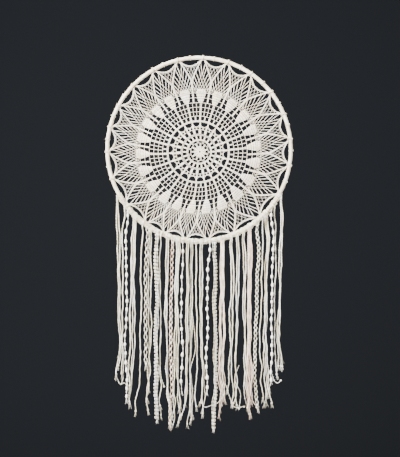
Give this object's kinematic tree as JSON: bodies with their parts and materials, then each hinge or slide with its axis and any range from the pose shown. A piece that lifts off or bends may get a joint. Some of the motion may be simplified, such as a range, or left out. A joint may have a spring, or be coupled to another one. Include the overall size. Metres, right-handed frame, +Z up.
{
  "type": "crocheted lace dreamcatcher with wrapped hoop and fringe",
  "caption": "Round lace web laced inside a cord-wrapped hoop, with a long fringe of cords, lace ribbons, loop chains and bead strands knotted round its lower arc.",
  "frame": {"origin": "hang point, on the outside of the hoop at its top", "axes": "+Z up, along the hang; the front faces -Y and the wall is on the +Y side"},
  "size_m": [0.4013, 0.0134, 0.8001],
  "materials": {
    "wrap": "matt cream cotton cord",
    "lace": "matt ivory crochet cotton",
    "cotton": "matt twisted cotton cord",
    "ribbon": "soft pinkish cream lace ribbon",
    "bead": "white cotton bead strand"
  },
  "bodies": {
    "root": {"hoop": "wrap", "lace": "lace", "tie_01": "wrap", "tie_02": "wrap", "tie_03": "wrap", "tie_04": "wrap", "tie_05": "wrap", "tie_06": "wrap", "tie_07": "wrap", "tie_08": "wrap", "tie_09": "wrap", "tie_10": "wrap", "tie_11": "wrap", "tie_12": "wrap", "tie_13": "wrap", "tie_14": "wrap", "tie_15": "wrap", "tie_16": "wrap", "tie_17": "wrap", "tie_18": "wrap", "tie_19": "wrap", "tie_20": "wrap", "tie_21": "wrap", "tie_22": "wrap", "cords_left_edge": "cotton", "cord_left_edge": "cotton", "beads_left_edge": "bead", "cords_left_outer": "cotton", "cord_left_wavy": "cotton", "chain_left": "cotton", "cords_left_lace": "cotton", "lace_left": "ribbon", "cord_left_lace": "cotton", "cords_left_middle": "cotton", "picot_left": "ribbon", "cords_left_inner": "cotton", "beads_left_inner": "bead", "cords_middle_thin": "cotton", "cords_middle_wavy": "cotton", "cord_middle_single": "cotton", "cords_middle_right": "cotton", "beads_right_inner": "bead", "picot_right": "ribbon", "ribbons_right": "ribbon", "cords_right_inner": "cotton", "cords_right_wavy": "cotton", "cords_right_middle": "cotton", "ribbon_right_wide": "ribbon", "chain_right": "cotton", "cord_right_outer": "cotton", "cords_right_outer": "cotton", "beads_right_edge": "bead", "cord_right_edge": "cotton", "cords_right_edge": "cotton"}
  },
  "joints": []
}
